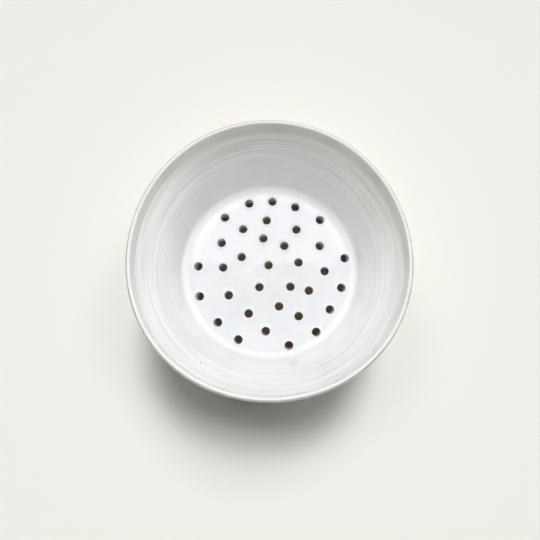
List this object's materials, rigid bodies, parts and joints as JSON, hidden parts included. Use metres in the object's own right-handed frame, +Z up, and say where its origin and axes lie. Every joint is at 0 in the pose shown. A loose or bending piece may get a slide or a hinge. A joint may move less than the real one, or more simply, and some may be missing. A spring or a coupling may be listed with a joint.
{
  "type": "berry colander bowl",
  "caption": "Wheel-thrown stoneware berry bowl with a pierced flat floor, throwing rings, a rolled lip, a notched foot ring and a glossy white glaze.",
  "frame": {"origin": "centre of the foot ring's contact face, on the table", "axes": "+Z up along the bowl's axis, towards the lip; +X and +Y pass through drain notches of the foot ring"},
  "size_m": [0.18, 0.18, 0.086],
  "materials": {
    "white_glaze": "glossy",
    "stoneware_clay": "bare, lightly sanded"
  },
  "bodies": {
    "root": {"thrown_bowl": "stoneware_clay", "foot_ring": "stoneware_clay", "inside_glaze": "white_glaze", "outside_glaze": "white_glaze", "drain_hole_linings": "white_glaze"}
  },
  "joints": []
}
